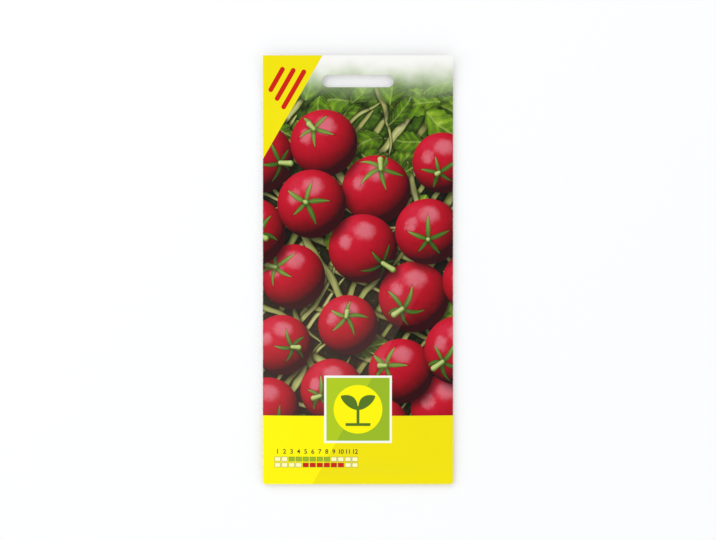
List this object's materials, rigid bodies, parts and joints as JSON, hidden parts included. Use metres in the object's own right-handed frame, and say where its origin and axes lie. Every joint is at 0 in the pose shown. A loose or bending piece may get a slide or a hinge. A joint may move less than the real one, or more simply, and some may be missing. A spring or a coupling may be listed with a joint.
{
  "type": "seed packet",
  "caption": "Sealed paper seed packet with a printed front, a round-ended hang slot in its header, a back seam and a small inner sachet of seeds.",
  "frame": {"origin": "under the middle of the packet, on the surface that it lies on", "axes": "+X across the packet to the right of its printed face, +Y towards the header with the hang slot, +Z out of the printed face"},
  "size_m": [0.08, 0.18, 0.006],
  "materials": {
    "printed_paper": "satin",
    "sachet_paper": "satin",
    "seed_coat": "matte"
  },
  "bodies": {
    "root": {"envelope": "printed_paper", "inner_sachet": "sachet_paper", "seeds": "seed_coat"}
  },
  "joints": []
}
